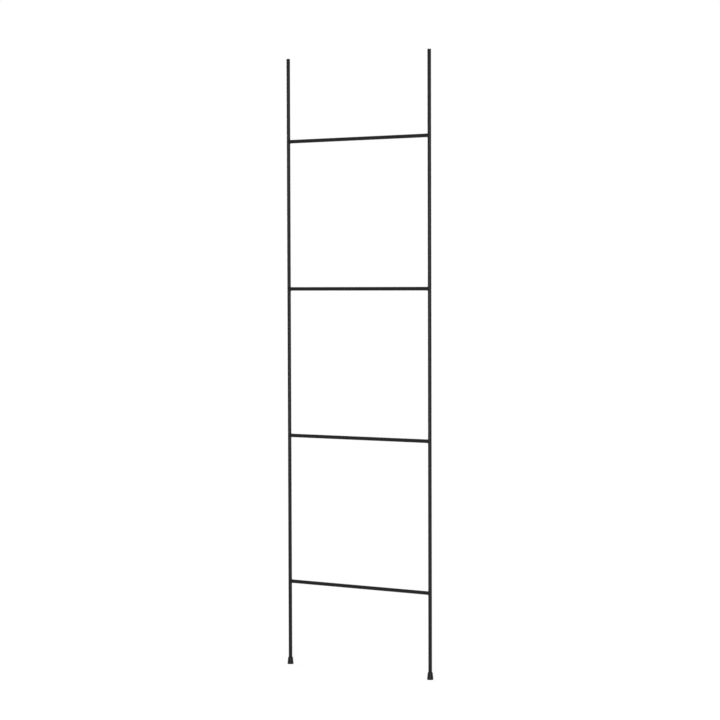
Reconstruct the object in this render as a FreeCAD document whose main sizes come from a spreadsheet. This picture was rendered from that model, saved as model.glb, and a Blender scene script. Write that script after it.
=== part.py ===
# Towel ladder: two tube rails joined by welded tube rungs, with rubber feet and plugged upper ends.
# It stands upright. The origin lies on the floor midway between the feet, X runs along the rungs,
# Y to the back and Z up along the rails.
import FreeCAD
import Part
import Sketcher
import math
import os

# Driving dimensions in millimetres, with a few counts and shares
DIMENSIONS = {
    # whole ladder
    "overall_height": 1700,        # floor to the top of the plugs
    "rail_spacing": 460,           # between the rails' centre lines
    "rung_count": 4,
    "bottom_rung_height": 234.5,   # floor to the lowest rung's centre line
    "top_rung_drop": 231,          # highest rung's centre line to the top of the plugs
    # tube that rails and rungs are cut from
    "tube_diameter": 10,
    "tube_wall": 1,
    "tube_end_chamfer": 0.3,       # deburred outer edge at both ends of a rail
    "vent_diameter": 3,            # hole in the rail's wall that lets air out of each rung
    # weld at each rung end
    "weld_gap": 0.8,               # between the rail and the shaped rung end, filled by the weld
    "weld_leg": 2.4,               # reach of the fillet along the rung, in the corner of the crossing
    "weld_fade": 0.3,              # the fillet's half width falls this far short of the tube's flank
    "weld_tip_setback": 1.5,       # the weld stops this far from the rail's centre line
    # plastic plug in each rail's upper end
    "plug_head_thickness": 1.5,
    "plug_edge_radius": 0.8,
    "plug_stem_length": 10,
    "plug_rib_count": 3,
    "plug_rib_depth": 0.5,         # ribs stand this proud of the stem's core and grip the bore
    "plug_rib_thickness": 1,
    # rubber foot pushed over each rail's lower end
    "foot_height": 19.5,
    "foot_wall": 1.7,              # rubber around the tube at the foot's mouth
    "foot_flare": 2,               # the base stands this far out from the mouth, all round
    "foot_sole_thickness": 4,
    "foot_shoulder_radius": 0.8,
    "foot_base_radius": 0.6,
    "tread_count": 2,              # ring grooves in the sole
    "tread_width": 1,
    "tread_depth": 0.8,
    # steel washer inside each foot, under the rail's cut end
    "washer_thickness": 1,
    "washer_hole_diameter": 4,
    "washer_clearance": 0.2,       # all round, to the foot's bore
    # shared by all pieces
    "cut_overrun": 1,              # cuts run this far past the faces that they open
    "fillet_limit_share": 0.8,     # a rounded edge takes at most this share of its wall
}

# Sizes worked out from the sheet, as expressions
TUBE_RADIUS = "(Sizes.tube_diameter / 2)"
BORE_RADIUS = "(Sizes.tube_diameter / 2 - Sizes.tube_wall)"
RAIL_BASE = "(Sizes.foot_sole_thickness + Sizes.washer_thickness)"
RAIL_TOP = "(Sizes.overall_height - Sizes.plug_head_thickness)"
RUNG_SPAN = "(Sizes.overall_height - Sizes.bottom_rung_height - Sizes.top_rung_drop)"
COPE_RADIUS = "(Sizes.tube_diameter / 2 + Sizes.weld_gap)"
WELD_CROWN = f"hypot({TUBE_RADIUS} + Sizes.weld_leg; {TUBE_RADIUS})"
PLUG_CORE_RADIUS = f"({BORE_RADIUS} - Sizes.plug_rib_depth)"
PLUG_RIB_PITCH = "(Sizes.plug_stem_length / (Sizes.plug_rib_count + 1))"
FOOT_MOUTH_RADIUS = f"({TUBE_RADIUS} + Sizes.foot_wall)"
FOOT_BASE_RADIUS = f"({TUBE_RADIUS} + Sizes.foot_wall + Sizes.foot_flare)"
TREAD_PITCH = f"(({FOOT_BASE_RADIUS} - Sizes.foot_base_radius) / (Sizes.tread_count + 1))"

SIDES = {"left": -1, "right": 1}
X_AXIS = FreeCAD.Vector(1, 0, 0)
Z_AXIS = FreeCAD.Vector(0, 0, 1)
FULL_TURN = 360
HALF_TURN = 180
SAME_HEIGHT_DECIMALS = 6

# How a sketch numbers its own origin and axes, and the points of a line or a circle
ORIGIN_INDICES = (-1, 1)
HORIZONTAL_AXIS_INDEX = -1
VERTICAL_AXIS_INDEX = -2
START_POINT_INDEX = 1
END_POINT_INDEX = 2
CENTRE_POINT_INDEX = 3


def make_sheet(document):
    """Put the driving dimensions in a spreadsheet, one aliased number in each row."""
    sheet = document.addObject("Spreadsheet::Sheet", "Sizes")
    for row, (alias, value) in enumerate(DIMENSIONS.items(), start=1):
        sheet.set(f"A{row}", alias)
        sheet.set(f"B{row}", str(value))
        sheet.setAlias(f"B{row}", alias)
    document.recompute()


def new_body(document, name):
    body = document.addObject("PartDesign::Body", name)
    body.Label = name
    return body


def place(piece, across, up):
    """Bind the piece's place across the ladder and above the floor."""
    piece.setExpression("Placement.Base.x", across)
    piece.setExpression("Placement.Base.z", up)


def rung_height(number):
    return f"(Sizes.bottom_rung_height + {RUNG_SPAN} * {number - 1} / (Sizes.rung_count - 1))"


def new_sketch(body, name, role):
    """Start a sketch on one of the body's own origin planes."""
    sketch = body.newObject("Sketcher::SketchObject", name)
    plane = next(item for item in body.Origin.OriginFeatures if item.Role == role)
    sketch.AttachmentSupport = [(plane, "")]
    sketch.MapMode = "FlatFace"
    return sketch


def bind_point(sketch, point, start, across, up):
    """Tie a sketch point's two coordinates to expressions, or to the axis where one is zero."""
    for kind, axis, value, expression in (
        ("DistanceX", VERTICAL_AXIS_INDEX, start.x, across),
        ("DistanceY", HORIZONTAL_AXIS_INDEX, start.y, up),
    ):
        if expression == "0":
            sketch.addConstraint(Sketcher.Constraint("PointOnObject", *point, axis))
        else:
            number = sketch.addConstraint(Sketcher.Constraint(kind, *ORIGIN_INDICES, *point, value))
            sketch.setExpression(f"Constraints[{number}]", expression)


def add_circle(sketch, diameter, across="0", up="0"):
    """Draw a circle with its diameter and centre bound to expressions."""
    unit_circle = Part.Circle(FreeCAD.Vector(), Z_AXIS, 1)
    circle = sketch.addGeometry(unit_circle, False)
    bind_point(sketch, (circle, CENTRE_POINT_INDEX), unit_circle.Center, across, up)
    number = sketch.addConstraint(Sketcher.Constraint("Diameter", circle, 2 * unit_circle.Radius))
    sketch.setExpression(f"Constraints[{number}]", diameter)


def add_outline(sketch, corners):
    """Draw a closed outline whose corners are bound to pairs of expressions."""
    count = len(corners)
    turns = [2 * math.pi * index / count for index in range(count)]
    starts = [FreeCAD.Vector(math.cos(turn), math.sin(turn), 0) for turn in turns]
    lines = []
    for index, start in enumerate(starts):
        end = starts[(index + 1) % count]
        lines.append(sketch.addGeometry(Part.LineSegment(start, end), False))
    for index, line in enumerate(lines):
        corner = (line, END_POINT_INDEX, lines[(index + 1) % count], START_POINT_INDEX)
        sketch.addConstraint(Sketcher.Constraint("Coincident", *corner))
    for line, start, (across, up) in zip(lines, starts, corners):
        bind_point(sketch, (line, START_POINT_INDEX), start, across, up)


def turn_profile(body, kind, name, outlines):
    """Turn closed outlines, drawn as radius and height, about the body's Z axis."""
    sketch = new_sketch(body, f"{name}_profile", "XZ_Plane")
    for corners in outlines:
        add_outline(sketch, corners)
    feature = body.newObject(f"PartDesign::{kind}", name)
    feature.Profile = sketch
    feature.ReferenceAxis = (sketch, ["V_Axis"])
    feature.Angle = FULL_TURN
    body.Document.recompute()
    return feature


def outer_rim(feature, end):
    """Name the widest circular edge at the top (end is max) or the bottom (end is min) of a feature."""
    rings = {}
    for number, edge in enumerate(feature.Shape.Edges, start=1):
        if isinstance(edge.Curve, Part.Circle):
            rings[f"Edge{number}"] = edge.Curve
    level = end(ring.Center.z for ring in rings.values())
    at_end = [
        name for name, ring in rings.items() if round(ring.Center.z - level, SAME_HEIGHT_DECIMALS) == 0
    ]
    return max(at_end, key=lambda name: rings[name].Radius)


def dress_edges(body, base, kind, name, edges, size_property, size):
    """Round or chamfer edges of a feature of the body."""
    feature = body.newObject(f"PartDesign::{kind}", name)
    feature.Base = (base, edges)
    feature.setExpression(size_property, size)
    body.Document.recompute()
    return feature


def make_rail(document, side):
    """A full-height tube with a vent hole facing each rung and deburred ends."""
    name = f"{side}_rail"
    body = new_body(document, name)
    place(body, f"{SIDES[side]} * Sizes.rail_spacing / 2", RAIL_BASE)

    section = new_sketch(body, f"{name}_section", "XY_Plane")
    add_circle(section, "Sizes.tube_diameter")
    add_circle(section, f"2 * {BORE_RADIUS}")
    tube = body.newObject("PartDesign::Pad", f"{name}_tube")
    tube.Profile = section
    tube.setExpression("Length", f"{RAIL_TOP} - {RAIL_BASE}")
    document.recompute()

    vent_outline = new_sketch(body, f"{name}_vent_outline", "YZ_Plane")
    add_circle(vent_outline, "Sizes.vent_diameter", up=f"Sizes.bottom_rung_height - {RAIL_BASE}")
    vent = body.newObject("PartDesign::Pocket", f"{name}_vent")
    vent.Profile = vent_outline
    vent.Reversed = side == "left"
    vent.setExpression("Length", f"{TUBE_RADIUS} + Sizes.cut_overrun")
    document.recompute()

    vents = body.newObject("PartDesign::LinearPattern", f"{name}_vents")
    vents.Originals = [vent]
    vents.Direction = (vent_outline, ["V_Axis"])
    vents.setExpression("Length", RUNG_SPAN)
    vents.setExpression("Occurrences", "Sizes.rung_count")
    body.Tip = vents
    document.recompute()

    ends = [outer_rim(vents, max), outer_rim(vents, min)]
    dress_edges(body, vents, "Chamfer", f"{name}_deburring", ends, "Size", "Sizes.tube_end_chamfer")
    return body


def make_rung(document, number):
    """A tube between the rails, its ends cut to a saddle that leaves the weld gap around the rail."""
    name = f"rung_{number}"
    body = new_body(document, name)
    place(body, "0", rung_height(number))

    section = new_sketch(body, f"{name}_section", "YZ_Plane")
    add_circle(section, "Sizes.tube_diameter")
    add_circle(section, f"2 * {BORE_RADIUS}")
    tube = body.newObject("PartDesign::Pad", f"{name}_tube")
    tube.Profile = section
    tube.SideType = "Symmetric"
    tube.setExpression("Length", "Sizes.rail_spacing")
    document.recompute()

    saddle_outline = new_sketch(body, f"{name}_saddle_outline", "XY_Plane")
    for sign in SIDES.values():
        add_circle(saddle_outline, f"2 * {COPE_RADIUS}", across=f"{sign} * Sizes.rail_spacing / 2")
    saddles = body.newObject("PartDesign::Pocket", f"{name}_saddles")
    saddles.Profile = saddle_outline
    saddles.SideType = "Symmetric"
    saddles.setExpression("Length", "2 * (Sizes.tube_diameter + Sizes.cut_overrun)")
    document.recompute()
    return body


def add_rod(document, name, axis, radius, reach):
    """A solid round bar through the crossing, reaching equally far both ways along an axis."""
    rod = document.addObject("Part::Cylinder", name)
    rod.Placement.Rotation = FreeCAD.Rotation(Z_AXIS, axis)
    rod.setExpression("Radius", radius)
    rod.setExpression("Height", f"2 * {reach}")
    direction = "x" if axis == X_AXIS else "z"
    rod.setExpression(f"Placement.Base.{direction}", f"-{reach}")
    return rod


def combine(document, kind, name, base, tool):
    result = document.addObject(f"Part::{kind}", name)
    result.Base = base
    result.Tool = tool
    return result


def make_weld_form(document):
    """The weld before it is cut by the rail, about a crossing where the rung leaves along +X.

    A collar fills the gap at the rung's shaped end. A flattened ball adds the fillets above and
    below the rung, which thin out towards the tubes' flanks. The window keeps the rung's side.
    """
    reach = f"({WELD_CROWN} + Sizes.cut_overrun)"
    rung_space = add_rod(document, "weld_rung_space", X_AXIS, TUBE_RADIUS, reach)
    bore_space = add_rod(document, "weld_bore_space", X_AXIS, BORE_RADIUS, reach)
    cope_space = add_rod(document, "weld_cope_space", Z_AXIS, COPE_RADIUS, reach)
    ring = combine(document, "Cut", "weld_ring", rung_space, bore_space)
    collar = combine(document, "Common", "weld_collar", ring, cope_space)

    ball = document.addObject("Part::Ellipsoid", "weld_ball")
    ball.setExpression("Radius1", WELD_CROWN)
    ball.setExpression("Radius2", WELD_CROWN)
    ball.setExpression("Radius3", f"{TUBE_RADIUS} - Sizes.weld_fade")
    fillets = combine(document, "Cut", "weld_fillets", ball, rung_space)
    bead = combine(document, "Fuse", "weld_bead", collar, fillets)

    window = document.addObject("Part::Box", "weld_window")
    window.setExpression("Length", reach)
    window.setExpression("Width", f"2 * {reach}")
    window.setExpression("Height", f"2 * {reach}")
    window.setExpression("Placement.Base.x", "Sizes.weld_tip_setback")
    window.setExpression("Placement.Base.y", f"-{reach}")
    window.setExpression("Placement.Base.z", f"-{reach}")
    form = combine(document, "Common", "weld_form", bead, window)
    rail_space = add_rod(document, "weld_rail_space", Z_AXIS, TUBE_RADIUS, reach)
    return form, rail_space


def make_weld(document, side, number, form, rail_space):
    """The weld at one rung end, turned to face the rung."""
    name = f"{side}_weld_{number}"
    weld = combine(document, "Cut", name, form, rail_space)
    weld.Label = name
    turn = 0 if side == "left" else HALF_TURN
    weld.Placement.Rotation = FreeCAD.Rotation(Z_AXIS, turn)
    place(weld, f"{SIDES[side]} * Sizes.rail_spacing / 2", rung_height(number))
    return weld


def make_plug(document, side):
    """A plastic insert: a head as wide as the tube over a stem whose ribs grip the bore."""
    name = f"{side}_top_plug"
    body = new_body(document, name)
    place(body, f"{SIDES[side]} * Sizes.rail_spacing / 2", f"{RAIL_TOP} - Sizes.plug_stem_length")

    corners = [("0", "0"), (PLUG_CORE_RADIUS, "0")]
    for index in range(1, DIMENSIONS["plug_rib_count"] + 1):
        rib_top = f"{PLUG_RIB_PITCH} * {index}"
        rib_foot = f"{rib_top} - Sizes.plug_rib_thickness"
        corners += [(PLUG_CORE_RADIUS, rib_foot), (BORE_RADIUS, rib_top), (PLUG_CORE_RADIUS, rib_top)]
    head_top = "Sizes.plug_stem_length + Sizes.plug_head_thickness"
    corners += [
        (PLUG_CORE_RADIUS, "Sizes.plug_stem_length"),
        (TUBE_RADIUS, "Sizes.plug_stem_length"),
        (TUBE_RADIUS, head_top),
        ("0", head_top),
    ]
    turned = turn_profile(body, "Revolution", f"{name}_form", [corners])
    edge_radius = "min(Sizes.plug_edge_radius; Sizes.plug_head_thickness * Sizes.fillet_limit_share)"
    edge = [outer_rim(turned, max)]
    dress_edges(body, turned, "Fillet", f"{name}_edge", edge, "Radius", edge_radius)
    return body


def make_foot(document, side):
    """A rubber ferrule: tapered outside, a blind bore for the tube, ring grooves in the sole."""
    name = f"{side}_foot"
    body = new_body(document, name)
    place(body, f"{SIDES[side]} * Sizes.rail_spacing / 2", "0")

    taper = [
        ("0", "0"),
        (FOOT_BASE_RADIUS, "0"),
        (FOOT_MOUTH_RADIUS, "Sizes.foot_height"),
        ("0", "Sizes.foot_height"),
    ]
    turned = turn_profile(body, "Revolution", f"{name}_form", [taper])
    shoulder_radius = "min(Sizes.foot_shoulder_radius; Sizes.foot_wall * Sizes.fillet_limit_share)"
    shoulder = [outer_rim(turned, max)]
    rounded = dress_edges(body, turned, "Fillet", f"{name}_shoulder", shoulder, "Radius", shoulder_radius)
    base = [outer_rim(rounded, min)]
    dress_edges(body, rounded, "Fillet", f"{name}_base", base, "Radius", "Sizes.foot_base_radius")

    mouth = "Sizes.foot_height + Sizes.cut_overrun"
    bore = [
        ("0", "Sizes.foot_sole_thickness"),
        (TUBE_RADIUS, "Sizes.foot_sole_thickness"),
        (TUBE_RADIUS, mouth),
        ("0", mouth),
    ]
    turn_profile(body, "Groove", f"{name}_bore", [bore])

    treads = []
    for index in range(1, DIMENSIONS["tread_count"] + 1):
        inner = f"{TREAD_PITCH} * {index} - Sizes.tread_width / 2"
        outer = f"{TREAD_PITCH} * {index} + Sizes.tread_width / 2"
        below = "-Sizes.cut_overrun"
        treads.append(
            [(inner, below), (outer, below), (outer, "Sizes.tread_depth"), (inner, "Sizes.tread_depth")]
        )
    turn_profile(body, "Groove", f"{name}_tread", treads)
    return body


def make_washer(document, side):
    """A steel washer on the foot's sole, inside its bore."""
    name = f"{side}_foot_washer"
    body = new_body(document, name)
    place(body, f"{SIDES[side]} * Sizes.rail_spacing / 2", "Sizes.foot_sole_thickness")
    section = new_sketch(body, f"{name}_section", "XY_Plane")
    add_circle(section, "Sizes.tube_diameter - 2 * Sizes.washer_clearance")
    add_circle(section, "Sizes.washer_hole_diameter")
    disc = body.newObject("PartDesign::Pad", f"{name}_disc")
    disc.Profile = section
    disc.setExpression("Length", "Sizes.washer_thickness")
    document.recompute()
    return body


def check(document, pieces):
    """Stop if a feature failed, a cut removed nothing, or a piece isn't a sound solid."""
    for item in document.Objects:
        if "Invalid" in item.State or "Error" in item.State:
            raise RuntimeError(f"{item.Name} failed: {item.State}")
        if item.TypeId in ("PartDesign::Pocket", "PartDesign::Groove"):
            if item.Shape.Volume >= item.BaseFeature.Shape.Volume:
                raise RuntimeError(f"{item.Name} cuts nothing")
    for piece in pieces:
        if piece.Shape.isNull() or not piece.Shape.isValid():
            raise RuntimeError(f"{piece.Label} has no sound shape")
        if len(piece.Shape.Solids) != 1:
            raise RuntimeError(f"{piece.Label} has {len(piece.Shape.Solids)} solids")


def main():
    document = FreeCAD.newDocument("TowelLadder")
    make_sheet(document)
    rung_numbers = range(1, DIMENSIONS["rung_count"] + 1)
    pieces = [make_rung(document, number) for number in rung_numbers]
    weld_form, rail_space = make_weld_form(document)
    for side in SIDES:
        pieces.append(make_rail(document, side))
        pieces.append(make_plug(document, side))
        pieces.append(make_foot(document, side))
        pieces.append(make_washer(document, side))
        for number in rung_numbers:
            pieces.append(make_weld(document, side, number, weld_form, rail_space))
    document.recompute()
    check(document, pieces)

    os.makedirs("parts", exist_ok=True)
    for piece in pieces:
        piece.Shape.exportStep(f"parts/{piece.Label}.step")
        print(f"{piece.Label}: {piece.Shape.Volume:.1f} mm3")


main()
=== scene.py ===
import math

import bmesh
import bpy
from mathutils import Matrix, Vector


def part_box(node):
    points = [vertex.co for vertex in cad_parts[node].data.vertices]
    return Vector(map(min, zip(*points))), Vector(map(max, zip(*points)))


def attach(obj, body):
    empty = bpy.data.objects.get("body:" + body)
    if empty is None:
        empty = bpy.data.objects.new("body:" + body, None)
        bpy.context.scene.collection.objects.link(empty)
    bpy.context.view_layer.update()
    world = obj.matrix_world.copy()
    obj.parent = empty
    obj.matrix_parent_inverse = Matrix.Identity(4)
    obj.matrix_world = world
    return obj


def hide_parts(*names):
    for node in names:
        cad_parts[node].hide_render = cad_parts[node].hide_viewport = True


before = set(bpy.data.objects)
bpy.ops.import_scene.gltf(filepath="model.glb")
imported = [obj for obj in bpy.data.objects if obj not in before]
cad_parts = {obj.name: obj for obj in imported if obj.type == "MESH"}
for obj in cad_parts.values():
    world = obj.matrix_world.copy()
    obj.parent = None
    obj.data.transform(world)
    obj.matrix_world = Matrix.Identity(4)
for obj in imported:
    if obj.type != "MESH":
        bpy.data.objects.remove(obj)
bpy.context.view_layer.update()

MM = 0.001
SIDES = {"left": -1, "right": 1}
RUNG_NUMBERS = (1, 2, 3, 4)
ONLY_BODY = "root"

# Tube of the rails and rungs
TUBE_RADIUS = 5 * MM
TUBE_WALL = 1 * MM
BORE_RADIUS = TUBE_RADIUS - TUBE_WALL
TUBE_EDGE_ROUNDING = 0.3 * MM
TUBE_STEPS = 64                     # facets round a tube

# Texture map of a tube: strips of its outside, side by side, with its bore in one strip more
MAP_NAME = "OFBake"                 # name of the texture map, through which textures are baked
RAIL_STRIPS = 8
RUNG_STRIPS = 4
STRIP_ROWS = 5                      # stretches that the mesh is divided into along a strip
STRIP_MARGIN_SHARE = 0.02

# Weld bead at each rung end
WELD_GAP = 0.8 * MM                 # between the rail and the rung's end, filled by the weld
SADDLE_RADIUS = TUBE_RADIUS + WELD_GAP      # the rung's end is cut to this, about the rail's centre line
BEAD_STEPS = 240                    # facets round the rung
BEAD_FACE_ROWS = 7                  # rows of points across the bead's face
BEAD_LEG = 2.4 * MM                 # reach along the rail and along the rung, in the corner
BEAD_FLANK_REACH = 3.2 * MM         # reach along the rung at its flank, from the rail's centre line
BEAD_WRAP = math.radians(76)        # how far the bead's edge wraps round the rail
BEAD_HOLLOW_SHARE = 0.8             # 1 meets both tubes without a crease, 0 is a flat face
BEAD_CROWN = 0.25 * MM              # fullness where the two tubes' flanks run into each other
RIPPLE_COUNT = 30                   # about one for each 1.3 mm of bead
RIPPLE_HEIGHT = 0.045 * MM
RIPPLE_BOW = 1.8                    # how far the ripples bow along the bead, as a phase
LEG_SWELL_SHARE = 0.07              # how much a bead's leg swells and shrinks on its way round
LEG_SWELL_TURN = 2                  # the swell moves on this many times as far as the ripples, bead by bead

# Plastic plug in each rail's top
PLUG_STEPS = 64                     # facets round the plug
PLUG_STEM_LENGTH = 10 * MM
PLUG_RIB_COUNT = 3
PLUG_RIB_PITCH = PLUG_STEM_LENGTH / (PLUG_RIB_COUNT + 1)
PLUG_RIB_DEPTH = 0.5 * MM           # the ribs stand this proud of the stem's core and grip the bore
PLUG_RIB_THICKNESS = 1 * MM
PLUG_CORE_RADIUS = BORE_RADIUS - PLUG_RIB_DEPTH
PLUG_HEAD_THICKNESS = 1.5 * MM
PLUG_DOME_RISE = 0.15 * MM
PLUG_EDGE_ROUNDING = 0.8 * MM

# Rubber foot on each rail's lower end
FOOT_STEPS = 72                     # facets round the foot
FOOT_FLANK_ROWS = 8                 # rows of facets up its tapered side
FOOT_HEIGHT = 19.5 * MM
FOOT_WALL = 1.7 * MM                # rubber round the tube at the foot's mouth
FOOT_FLARE = 2 * MM                 # the base stands this far out from the mouth, all round
FOOT_MOUTH_RADIUS = TUBE_RADIUS + FOOT_WALL
FOOT_BASE_RADIUS = FOOT_MOUTH_RADIUS + FOOT_FLARE
FOOT_SOLE_THICKNESS = 4 * MM
FOOT_SHOULDER_ROUNDING = 0.8 * MM
FOOT_BASE_ROUNDING = 0.6 * MM
FOOT_LIP_ROUNDING = 0.3 * MM
TREAD_COUNT = 2                     # ring grooves in the sole
TREAD_PITCH = (FOOT_BASE_RADIUS - FOOT_BASE_ROUNDING) / (TREAD_COUNT + 1)
TREAD_WIDTH = 1 * MM
TREAD_DEPTH = 0.8 * MM
TREAD_ROUNDING = 0.15 * MM

# Meshes in general
ROUND_STEPS = 6                     # facets across a rounded edge
SMALL_ROUND_STEPS = 3               # across one of 0.3 mm
GROOVE_ROUND_STEPS = 2              # across one in the sole's grooves
MERGE_REACH = 0.002 * MM            # points nearer than this are made one
TOUCH = 0.001 * MM                  # points this near to a circle lie on it
SHARP_ANGLE = math.radians(40)      # faces that meet at more than this keep a hard edge

# Most of a noise pattern lies between these two values
NOISE_LOW = 0.3
NOISE_HIGH = 0.7


# Materials

def linear(code):
    """An sRGB hex colour as linear red, green, blue and alpha."""
    channels = [int(code[start:start + 2], 16) / 255 for start in (1, 3, 5)]
    steps = [c / 12.92 if c <= 0.04045 else ((c + 0.055) / 1.055) ** 2.4 for c in channels]
    return (*steps, 1)


def add_node(tree, kind, inputs, **settings):
    """Add a node with its settings. An input is a plain value or another node's output."""
    node = tree.nodes.new(kind)
    for name, value in settings.items():
        setattr(node, name, value)
    sockets = {socket.identifier: socket for socket in node.inputs}
    for name, value in inputs.items():
        if isinstance(value, bpy.types.NodeSocket):
            tree.links.new(value, sockets[name])
        else:
            sockets[name].default_value = value
    return {socket.identifier: socket for socket in node.outputs}


def start_finish(name):
    """An empty material, its nodes and its object coordinates, in metres in the ladder's own frame."""
    finish = bpy.data.materials.new(name)
    finish.use_nodes = True
    finish.node_tree.nodes.clear()
    place = add_node(finish.node_tree, "ShaderNodeTexCoord", {})["Object"]
    return finish, finish.node_tree, place


def black_powder_coat():
    """Polyester powder, sprayed on and baked: near black with a satin sheen, broken up by a soft
    orange-peel ripple and a fine grain, and slow drifts of gloss where the film is thicker."""
    film_drift = 70 * MM
    # Ripple and grain are drawn deeper than a real film's, so that they show close up
    peel_width, peel_depth = 2 * MM, 0.08 * MM
    grain_width, grain_depth = 0.5 * MM, 0.06 * MM

    finish, tree, place = start_finish("satin_black_powder_coat")
    film = add_node(tree, "ShaderNodeTexNoise", {
        "Vector": place, "Scale": 1 / film_drift, "Detail": 2, "Roughness": 0.5})["Fac"]
    colour = add_node(tree, "ShaderNodeMix", {
        "Factor_Float": film, "A_Color": linear("#1A1A1A"), "B_Color": linear("#212121"),
    }, data_type="RGBA")["Result_Color"]
    gloss = add_node(tree, "ShaderNodeMapRange", {
        "Value": film, "From Min": NOISE_LOW, "From Max": NOISE_HIGH,
        "To Min": 0.36, "To Max": 0.46})["Result"]
    peel = add_node(tree, "ShaderNodeTexNoise", {
        "Vector": place, "Scale": 1 / peel_width, "Detail": 1, "Roughness": 0.4})["Fac"]
    peel_bump = add_node(tree, "ShaderNodeBump", {
        "Height": peel, "Strength": 1, "Distance": peel_depth})["Normal"]
    grain = add_node(tree, "ShaderNodeTexNoise", {
        "Vector": place, "Scale": 1 / grain_width, "Detail": 2, "Roughness": 0.6})["Fac"]
    grain_bump = add_node(tree, "ShaderNodeBump", {
        "Height": grain, "Strength": 1, "Distance": grain_depth, "Normal": peel_bump})["Normal"]
    surface = add_node(tree, "ShaderNodeBsdfPrincipled", {
        "Base Color": colour, "Roughness": gloss, "IOR": 1.5, "Specular IOR Level": 0.11,
        "Normal": grain_bump})["BSDF"]
    add_node(tree, "ShaderNodeOutputMaterial", {"Surface": surface})
    return finish


def black_rubber():
    """Vulcanised rubber, compression moulded: soft black, matt with a low sheen from the mould's
    blasted face, and a touch greyer where the sole's edge is rubbed."""
    cloud_width = 5 * MM
    # The blasting is drawn coarser and deeper than real grit leaves it, so that it shows close up
    blast_width, blast_depth = 0.35 * MM, 0.05 * MM
    rub_height, rub_share = 2.5 * MM, 0.5

    finish, tree, place = start_finish("moulded_black_rubber")
    cloud = add_node(tree, "ShaderNodeTexNoise", {
        "Vector": place, "Scale": 1 / cloud_width, "Detail": 3, "Roughness": 0.6})["Fac"]
    body_colour = add_node(tree, "ShaderNodeMix", {
        "Factor_Float": cloud, "A_Color": linear("#141414"), "B_Color": linear("#1A1A1A"),
    }, data_type="RGBA")["Result_Color"]
    height = add_node(tree, "ShaderNodeSeparateXYZ", {"Vector": place})["Z"]
    rub = add_node(tree, "ShaderNodeMapRange", {
        "Value": height, "From Min": 0, "From Max": rub_height, "To Min": rub_share, "To Max": 0,
    }, interpolation_type="SMOOTHSTEP")["Result"]
    colour = add_node(tree, "ShaderNodeMix", {
        "Factor_Float": rub, "A_Color": body_colour, "B_Color": linear("#2E2D2C"),
    }, data_type="RGBA")["Result_Color"]
    gloss = add_node(tree, "ShaderNodeMapRange", {
        "Value": cloud, "From Min": NOISE_LOW, "From Max": NOISE_HIGH,
        "To Min": 0.4, "To Max": 0.5})["Result"]
    blast = add_node(tree, "ShaderNodeTexNoise", {
        "Vector": place, "Scale": 1 / blast_width, "Detail": 2, "Roughness": 0.6})["Fac"]
    bump = add_node(tree, "ShaderNodeBump", {
        "Height": blast, "Strength": 1, "Distance": blast_depth})["Normal"]
    surface = add_node(tree, "ShaderNodeBsdfPrincipled", {
        "Base Color": colour, "Roughness": gloss, "IOR": 1.52, "Specular IOR Level": 0.13,
        "Normal": bump})["BSDF"]
    add_node(tree, "ShaderNodeOutputMaterial", {"Surface": surface})
    return finish


def black_plastic():
    """Polyethylene, injection moulded: even black with a dull, slightly waxy sheen and the fine
    pitting of a spark-eroded mould."""
    # The pits are drawn wider than real ones, so that they show close up
    pit_width, pit_depth = 0.25 * MM, 0.03 * MM

    finish, tree, place = start_finish("moulded_black_polyethylene")
    pits = add_node(tree, "ShaderNodeTexNoise", {
        "Vector": place, "Scale": 1 / pit_width, "Detail": 2, "Roughness": 0.6})["Fac"]
    colour = add_node(tree, "ShaderNodeMix", {
        "Factor_Float": pits, "A_Color": linear("#1E1E1F"), "B_Color": linear("#252526"),
    }, data_type="RGBA")["Result_Color"]
    gloss = add_node(tree, "ShaderNodeMapRange", {
        "Value": pits, "From Min": NOISE_LOW, "From Max": NOISE_HIGH,
        "To Min": 0.45, "To Max": 0.56})["Result"]
    bump = add_node(tree, "ShaderNodeBump", {
        "Height": pits, "Strength": 1, "Distance": pit_depth})["Normal"]
    surface = add_node(tree, "ShaderNodeBsdfPrincipled", {
        "Base Color": colour, "Roughness": gloss, "IOR": 1.51, "Specular IOR Level": 0.3,
        "Normal": bump})["BSDF"]
    add_node(tree, "ShaderNodeOutputMaterial", {"Surface": surface})
    return finish


def zinc_plated_steel():
    """Stamped steel, bright zinc plated: a cool grey metal with cloudy gloss and fine rolling lines."""
    cloud_width = 2 * MM
    line_length, line_width, line_depth = 8 * MM, 0.12 * MM, 0.004 * MM

    finish, tree, place = start_finish("bright_zinc_plated_steel")
    cloud = add_node(tree, "ShaderNodeTexNoise", {
        "Vector": place, "Scale": 1 / cloud_width, "Detail": 3, "Roughness": 0.6})["Fac"]
    colour = add_node(tree, "ShaderNodeMix", {
        "Factor_Float": cloud, "A_Color": linear("#AEB2B8"), "B_Color": linear("#C4C7CA"),
    }, data_type="RGBA")["Result_Color"]
    gloss = add_node(tree, "ShaderNodeMapRange", {
        "Value": cloud, "From Min": NOISE_LOW, "From Max": NOISE_HIGH,
        "To Min": 0.28, "To Max": 0.42})["Result"]
    drawn = add_node(tree, "ShaderNodeMapping", {
        "Vector": place, "Scale": (1 / line_length, 1 / line_width, 1 / line_length)})["Vector"]
    lines = add_node(tree, "ShaderNodeTexNoise", {"Vector": drawn, "Scale": 1, "Detail": 1})["Fac"]
    bump = add_node(tree, "ShaderNodeBump", {
        "Height": lines, "Strength": 1, "Distance": line_depth})["Normal"]
    surface = add_node(tree, "ShaderNodeBsdfPrincipled", {
        "Base Color": colour, "Metallic": 1, "Roughness": gloss, "Normal": bump})["BSDF"]
    add_node(tree, "ShaderNodeOutputMaterial", {"Surface": surface})
    return finish
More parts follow.
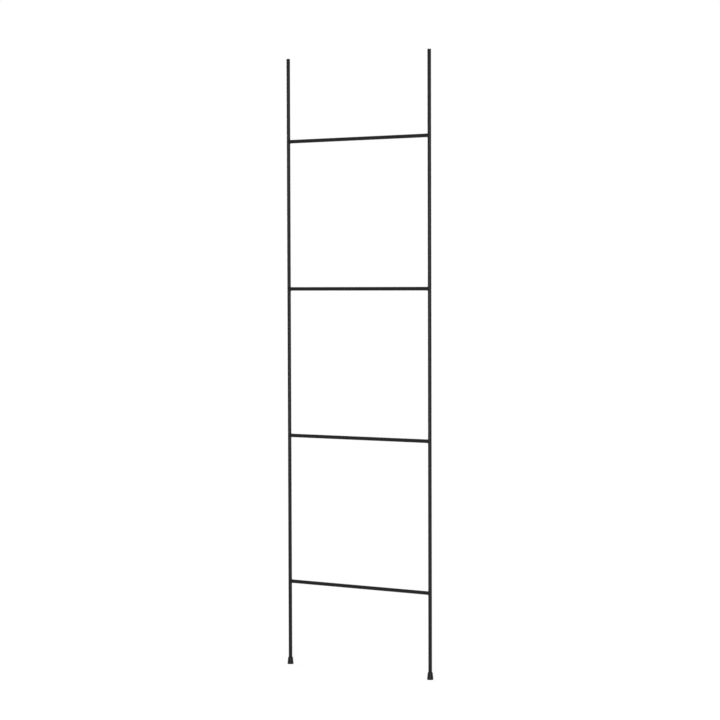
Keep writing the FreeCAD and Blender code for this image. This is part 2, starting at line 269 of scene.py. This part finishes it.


# The finish for each material slot, by the slot's name
FINISHES = {
    "black_powder_coat": black_powder_coat(),
    "black_rubber": black_rubber(),
    "black_plastic": black_plastic(),
    "zinc_steel": zinc_plated_steel(),
}


# Shapes

def turn_profile(profile, steps, closed=False):
    """Turn a line of (radius, height) points right round the Z axis."""
    shape = bmesh.new()
    corners = [shape.verts.new((radius, 0, height)) for radius, height in profile]
    lines = [shape.edges.new(pair) for pair in zip(corners, corners[1:])]
    if closed:
        lines.append(shape.edges.new((corners[-1], corners[0])))
    bmesh.ops.spin(
        shape, geom=corners + lines, cent=(0, 0, 0), axis=(0, 0, 1), angle=math.tau,
        steps=steps, use_merge=True)
    bmesh.ops.remove_doubles(shape, verts=shape.verts, dist=MERGE_REACH)
    bmesh.ops.recalc_face_normals(shape, faces=shape.faces)
    return shape


def round_rims(shape, rims, size, segments):
    """Round the circular edges at these pairs of radius and height."""
    def on_rim(vert, radius, height):
        off_round = abs(vert.co.xy.length - radius)
        return off_round < TOUCH and abs(vert.co.z - height) < TOUCH

    edges = [
        edge for edge in shape.edges for rim in rims
        if all(on_rim(vert, *rim) for vert in edge.verts)]
    bmesh.ops.bevel(
        shape, geom=edges, offset=size, offset_type="OFFSET", affect="EDGES",
        segments=segments, profile=0.5, material=-1)


def divide_lengthwise(shape, longer_than, rows):
    """Divide the edges that run along a turned piece into rows."""
    edges = [edge for edge in shape.edges if edge.calc_length() > longer_than]
    bmesh.ops.subdivide_edges(shape, edges=edges, cuts=rows - 1)


def map_tube(shape, base, top, strips):
    """Lay out a tube along Z on a texture map, so that a texel is about as long as it is wide."""
    def share_along(point):
        return (point.z - base) / (top - base)

    def inset(share):
        return STRIP_MARGIN_SHARE + (1 - 2 * STRIP_MARGIN_SHARE) * share

    layer = shape.loops.layers.uv.new(MAP_NAME)
    for face in shape.faces:
        middle = face.calc_center_median()
        facing = math.atan2(middle.y, middle.x)
        in_bore = all(vert.co.xy.length < BORE_RADIUS + TOUCH for vert in face.verts)
        count = 1 if in_bore else strips
        strip = min(int(count * share_along(middle)), count - 1)
        column = strips if in_bore else strip
        for loop in face.loops:
            place = loop.vert.co
            # Angles are taken from the face's own, so that none is torn where the turn starts anew
            swing = (math.atan2(place.y, place.x) - facing + math.pi) % math.tau - math.pi
            around = (facing + swing) / math.tau + 0.5
            along = count * share_along(place) - strip
            loop[layer].uv = ((column + inset(around)) / (strips + 1), inset(along))


def keep_piece(shape, place, name, slot, node):
    """Set a finished shape in its place, as a piece of the ladder that stands for a CAD node."""
    bmesh.ops.translate(shape, vec=place, verts=shape.verts)
    bmesh.ops.remove_doubles(shape, verts=shape.verts, dist=MERGE_REACH)
    bmesh.ops.recalc_face_normals(shape, faces=shape.faces)
    mesh = bpy.data.meshes.new(name)
    shape.to_mesh(mesh)
    shape.free()
    mesh.shade_smooth()
    mesh.set_sharp_from_angle(angle=SHARP_ANGLE)
    mesh.materials.append(FINISHES[slot])
    piece = bpy.data.objects.new(name, mesh)
    bpy.context.scene.collection.objects.link(piece)
    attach(piece, ONLY_BODY)
    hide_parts(node)


def rail_tube(base, top):
    """A straight tube with softened outer edges at both ends."""
    profile = [(TUBE_RADIUS, base), (TUBE_RADIUS, top), (BORE_RADIUS, top), (BORE_RADIUS, base)]
    shape = turn_profile(profile, TUBE_STEPS, closed=True)
    ends = [(TUBE_RADIUS, base), (TUBE_RADIUS, top)]
    round_rims(shape, ends, TUBE_EDGE_ROUNDING, SMALL_ROUND_STEPS)
    divide_lengthwise(shape, (top - base) / 2, RAIL_STRIPS * STRIP_ROWS)
    map_tube(shape, base, top, RAIL_STRIPS)
    return shape


def rung_tube(rail_reach):
    """A tube along X, from rail to rail, whose ends are cut to a saddle round each of them."""
    profile = [
        (TUBE_RADIUS, -rail_reach), (TUBE_RADIUS, rail_reach),
        (BORE_RADIUS, rail_reach), (BORE_RADIUS, -rail_reach)]
    shape = turn_profile(profile, TUBE_STEPS, closed=True)
    divide_lengthwise(shape, rail_reach, RUNG_STRIPS * STRIP_ROWS)
    map_tube(shape, -rail_reach, rail_reach, RUNG_STRIPS)
    bmesh.ops.rotate(
        shape, cent=(0, 0, 0), matrix=Matrix.Rotation(math.pi / 2, 3, "Y"), verts=shape.verts)
    # Each line of points along the tube is shortened, so that it ends on the saddles
    for vert in shape.verts:
        saddle = math.sqrt(SADDLE_RADIUS ** 2 - vert.co.y ** 2)
        vert.co.x *= 1 - saddle / rail_reach
    return shape


def bead_rows(phase):
    """The weld's rows of points, each a function of the angle round the rung, from the top.

    They are in the crossing's own frame, X along the rung away from the rail. The face runs from
    the rail to the rung, and the rows after it lie against the two tubes, inside the joint. The
    phase moves the swell and the ripples round, so that no two beads are laid quite alike.
    """
    def leg(angle):
        return BEAD_LEG * (1 + LEG_SWELL_SHARE * math.sin(angle + LEG_SWELL_TURN * phase))

    def rail_edge(angle):
        wrap = BEAD_WRAP * math.sin(angle)
        climb = (TUBE_RADIUS + leg(angle)) * math.cos(angle)
        return Vector((TUBE_RADIUS * math.cos(wrap), TUBE_RADIUS * math.sin(wrap), climb))

    def on_rung(along, radius, angle):
        return Vector((along, radius * math.sin(angle), radius * math.cos(angle)))

    def rung_edge(angle):
        corner_reach = (TUBE_RADIUS + leg(angle)) * math.cos(angle)
        along = math.hypot(corner_reach, BEAD_FLANK_REACH * math.sin(angle))
        return on_rung(along, TUBE_RADIUS, angle)

    def face(share):
        def point(angle):
            start, end = rail_edge(angle), rung_edge(angle)
            middle = (start + end) / 2
            seam = on_rung(TUBE_RADIUS * abs(math.cos(angle)), TUBE_RADIUS, angle)
            inward = math.cos(angle) ** 2 * (seam - middle)
            outward = Vector((0, math.copysign(math.sin(angle) ** 2, math.sin(angle)), 0))
            pull = middle + BEAD_HOLLOW_SHARE * inward + BEAD_CROWN * outward
            smooth = (1 - share) ** 2 * start + 2 * share * (1 - share) * pull + share ** 2 * end
            # The ripples are highest in the middle of the face and die out at its edges
            fade = 4 * share * (1 - share)
            bow = RIPPLE_BOW * (1 - fade)
            ripple = fade * RIPPLE_HEIGHT * math.sin(RIPPLE_COUNT * angle + bow + phase)
            lift = (outward - inward / BEAD_LEG).normalized()
            return smooth + ripple * lift
        return point

    def saddle(radius, cut_radius):
        def point(angle):
            across = radius * math.sin(angle)
            return on_rung(math.sqrt(cut_radius ** 2 - across ** 2), radius, angle)
        return point

    shares = [(row + 1) / (BEAD_FACE_ROWS + 1) for row in range(BEAD_FACE_ROWS)]
    face_rows = [face(share) for share in shares]
    seat_rows = [
        saddle(TUBE_RADIUS, SADDLE_RADIUS),
        saddle(BORE_RADIUS, SADDLE_RADIUS),
        saddle(BORE_RADIUS, TUBE_RADIUS)]
    return [rail_edge, *face_rows, rung_edge, *seat_rows]


def weld_bead(phase):
    """A hollow-faced bead round the rung's end, with the ripples of its laying under the coat."""
    shape = bmesh.new()
    loops = []
    for row in bead_rows(phase):
        ring = bmesh.ops.create_circle(shape, segments=BEAD_STEPS, radius=TUBE_RADIUS)["verts"]
        for step, vert in enumerate(ring):
            vert.co = row(math.tau * step / BEAD_STEPS)
        loops.append(list({edge for vert in ring for edge in vert.link_edges}))
    for loop, following in zip(loops, loops[1:] + loops[:1]):
        bmesh.ops.bridge_loops(shape, edges=loop + following)
    return shape


def top_plug():
    """A plug with a shallow domed head on a stem whose saw-tooth ribs grip the bore."""
    profile = [(0, 0), (PLUG_CORE_RADIUS, 0)]
    for rib in range(1, PLUG_RIB_COUNT + 1):
        rib_top = rib * PLUG_RIB_PITCH
        profile += [
            (PLUG_CORE_RADIUS, rib_top - PLUG_RIB_THICKNESS),
            (BORE_RADIUS, rib_top), (PLUG_CORE_RADIUS, rib_top)]
    profile += [(PLUG_CORE_RADIUS, PLUG_STEM_LENGTH), (TUBE_RADIUS, PLUG_STEM_LENGTH)]
    # The dome is a parabola: half way out it has dropped by a quarter of its rise
    head_top = PLUG_STEM_LENGTH + PLUG_HEAD_THICKNESS
    shoulder = head_top - PLUG_DOME_RISE
    profile += [(TUBE_RADIUS, shoulder), (TUBE_RADIUS / 2, head_top - PLUG_DOME_RISE / 4), (0, head_top)]
    shape = turn_profile(profile, PLUG_STEPS)
    round_rims(shape, [(TUBE_RADIUS, shoulder)], PLUG_EDGE_ROUNDING, ROUND_STEPS)
    return shape


def rubber_foot():
    """A tapered ferrule with a soft shoulder, a blind bore and ring grooves in its sole."""
    profile = [(0, 0)]
    groove_rims = []
    for number in range(1, TREAD_COUNT + 1):
        middle = number * TREAD_PITCH
        inner, outer = middle - TREAD_WIDTH / 2, middle + TREAD_WIDTH / 2
        profile += [(inner, 0), (inner, TREAD_DEPTH), (outer, TREAD_DEPTH), (outer, 0)]
        groove_rims += [(inner, 0), (outer, 0)]
    profile += [
        (FOOT_BASE_RADIUS, 0), (FOOT_MOUTH_RADIUS, FOOT_HEIGHT), (TUBE_RADIUS, FOOT_HEIGHT),
        (TUBE_RADIUS, FOOT_SOLE_THICKNESS), (0, FOOT_SOLE_THICKNESS)]
    shape = turn_profile(profile, FOOT_STEPS)
    round_rims(shape, groove_rims, TREAD_ROUNDING, GROOVE_ROUND_STEPS)
    round_rims(shape, [(FOOT_BASE_RADIUS, 0)], FOOT_BASE_ROUNDING, ROUND_STEPS)
    round_rims(shape, [(FOOT_MOUTH_RADIUS, FOOT_HEIGHT)], FOOT_SHOULDER_ROUNDING, ROUND_STEPS)
    round_rims(shape, [(TUBE_RADIUS, FOOT_HEIGHT)], FOOT_LIP_ROUNDING, SMALL_ROUND_STEPS)
    divide_lengthwise(shape, FOOT_HEIGHT / 2, FOOT_FLANK_ROWS)
    return shape


# Ladder

def middle_of(node):
    """The middle of a CAD node's box."""
    low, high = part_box(node)
    return (low + high) / 2


def build_ladder():
    for side, sign in SIDES.items():
        rail_node, plug_node, foot_node = f"{side}_rail", f"{side}_top_plug", f"{side}_foot"
        rail_low, rail_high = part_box(rail_node)
        rail_x = middle_of(rail_node).x

        rail = rail_tube(rail_low.z, rail_high.z)
        keep_piece(rail, (rail_x, 0, 0), f"{side}_rail_tube", "black_powder_coat", rail_node)

        plug_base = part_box(plug_node)[0].z
        keep_piece(top_plug(), (rail_x, 0, plug_base), f"{side}_plug", "black_plastic", plug_node)

        keep_piece(rubber_foot(), (rail_x, 0, 0), f"{side}_ferrule", "black_rubber", foot_node)
        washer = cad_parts[f"{side}_foot_washer"]
        washer.material_slots[0].material = FINISHES["zinc_steel"]

        for number in RUNG_NUMBERS:
            bead = weld_bead(phase=number + sign)
            bmesh.ops.scale(bead, vec=(-sign, 1, 1), verts=bead.verts)
            place = (rail_x, 0, middle_of(f"rung_{number}").z)
            weld_node = f"{side}_weld_{number}"
            keep_piece(bead, place, f"{side}_bead_{number}", "black_powder_coat", weld_node)

    rail_reach = middle_of("right_rail").x
    for number in RUNG_NUMBERS:
        rung_node = f"rung_{number}"
        place = (0, 0, middle_of(rung_node).z)
        keep_piece(rung_tube(rail_reach), place, f"rung_tube_{number}", "black_powder_coat", rung_node)


# Studio, with sizes and places in metres

WHITE = "#FFFFFF"
CAMERA_PLACE = (3.2115, -4.9498, 1.0672)
CAMERA_TURN = math.radians(32.924)      # from straight ahead to the left
CAMERA_PITCH = math.radians(1.995)      # downwards
CAMERA_ROLL = math.radians(0.159)
CAMERA_LENS = 107.294                   # millimetres
CAMERA_SENSOR_WIDTH = 36                # millimetres
AMBIENT = 0.1                           # light from all round, on matt surfaces
FLOOR_SIZE = 12
FLOOR_BOUNCE_COLOUR = "#E6E6E6"         # for the light that the floor throws back
FLOOR_LIT_COLOUR = "#DADADA"            # for what shows of the lamplight and the shadow
FLOOR_GLOW = 0.75                       # near the feet, where lamplight makes up the rest of the white
FLOOR_FADE_START = 0.5                  # from here outwards the floor runs into the backdrop
FLOOR_FADE_END = 1.4
LAMP_HEIGHT = 0.95
LAMP_DISTANCE = 4.2
# Softboxes round the ladder: degrees from the front towards the right, width, height and watts
SOFTBOXES = {
    "front_softbox": (31, 0.8, 2.0, 145),
    "left_softbox": (-110, 1.2, 2.0, 60),
    "back_softbox": (165, 1.2, 2.0, 60),
}


def to_the_eye(tree):
    """One for what the camera sees, also in a reflection or through glass, and zero for soft light."""
    path = add_node(tree, "ShaderNodeLightPath", {})
    mirrored = add_node(tree, "ShaderNodeMath", {
        "Value": path["Is Camera Ray"], "Value_001": path["Is Glossy Ray"],
    }, operation="MAXIMUM")["Value"]
    return add_node(tree, "ShaderNodeMath", {
        "Value": mirrored, "Value_001": path["Is Transmission Ray"],
    }, operation="MAXIMUM")["Value"]


def add_surroundings():
    """A white backdrop all round that lights matt surfaces less than it shows."""
    world = bpy.data.worlds.new("white_backdrop")
    bpy.context.scene.world = world
    world.use_nodes = True
    tree = world.node_tree
    tree.nodes.clear()
    strength = add_node(tree, "ShaderNodeMapRange", {
        "Value": to_the_eye(tree), "To Min": AMBIENT, "To Max": 1})["Result"]
    backdrop = add_node(tree, "ShaderNodeBackground", {
        "Color": linear(WHITE), "Strength": strength})["Background"]
    add_node(tree, "ShaderNodeOutputWorld", {"Surface": backdrop})


def add_floor():
    """A matt white floor that takes the ladder's shadow and runs into the backdrop."""
    finish, tree, place = start_finish("matt_white_floor")
    bounce = add_node(tree, "ShaderNodeBsdfDiffuse", {"Color": linear(FLOOR_BOUNCE_COLOUR)})["BSDF"]
    lit = add_node(tree, "ShaderNodeBsdfDiffuse", {"Color": linear(FLOOR_LIT_COLOUR)})["BSDF"]
    glow = add_node(tree, "ShaderNodeEmission", {
        "Color": linear(WHITE), "Strength": FLOOR_GLOW})["Emission"]
    near = add_node(tree, "ShaderNodeAddShader", {"Shader": lit, "Shader_001": glow})["Shader"]
    far = add_node(tree, "ShaderNodeEmission", {"Color": linear(WHITE), "Strength": 1})["Emission"]
    distance = add_node(tree, "ShaderNodeVectorMath", {"Vector": place}, operation="LENGTH")["Value"]
    fade = add_node(tree, "ShaderNodeMapRange", {
        "Value": distance, "From Min": FLOOR_FADE_START, "From Max": FLOOR_FADE_END,
    }, interpolation_type="SMOOTHSTEP")["Result"]
    shown = add_node(tree, "ShaderNodeMixShader", {
        "Fac": fade, "Shader": near, "Shader_001": far})["Shader"]
    surface = add_node(tree, "ShaderNodeMixShader", {
        "Fac": to_the_eye(tree), "Shader": bounce, "Shader_001": shown})["Shader"]
    add_node(tree, "ShaderNodeOutputMaterial", {"Surface": surface})

    shape = bmesh.new()
    bmesh.ops.create_grid(shape, x_segments=1, y_segments=1, size=FLOOR_SIZE / 2)
    mesh = bpy.data.meshes.new("floor")
    shape.to_mesh(mesh)
    shape.free()
    mesh.materials.append(finish)
    floor = bpy.data.objects.new("floor", mesh)
    bpy.context.scene.collection.objects.link(floor)


def add_softbox(name, bearing, width, height, power):
    """A tall soft lamp at a bearing from the ladder, turned to face it."""
    lamp = bpy.data.lights.new(name, "AREA")
    lamp.shape = "RECTANGLE"
    lamp.size = width
    lamp.size_y = height
    lamp.energy = power
    softbox = bpy.data.objects.new(name, lamp)
    turn = Matrix.Rotation(math.radians(bearing), 4, "Z")
    stand = Matrix.Translation((0, -LAMP_DISTANCE, LAMP_HEIGHT))
    upright = Matrix.Rotation(math.pi / 2, 4, "X")
    softbox.matrix_world = turn @ stand @ upright
    bpy.context.scene.collection.objects.link(softbox)


def add_camera():
    lens = bpy.data.cameras.new("camera")
    lens.lens = CAMERA_LENS
    lens.sensor_width = CAMERA_SENSOR_WIDTH
    camera = bpy.data.objects.new("camera", lens)
    turn = Matrix.Rotation(CAMERA_TURN, 4, "Z")
    tilt = Matrix.Rotation(math.pi / 2 - CAMERA_PITCH, 4, "X")
    roll = Matrix.Rotation(-CAMERA_ROLL, 4, "Z")
    camera.matrix_world = Matrix.Translation(CAMERA_PLACE) @ turn @ tilt @ roll
    bpy.context.scene.collection.objects.link(camera)
    bpy.context.scene.camera = camera


def build_studio():
    add_surroundings()
    add_floor()
    for name, settings in SOFTBOXES.items():
        add_softbox(name, *settings)
    add_camera()
    bpy.context.scene.view_settings.view_transform = "Standard"


build_ladder()
build_studio()
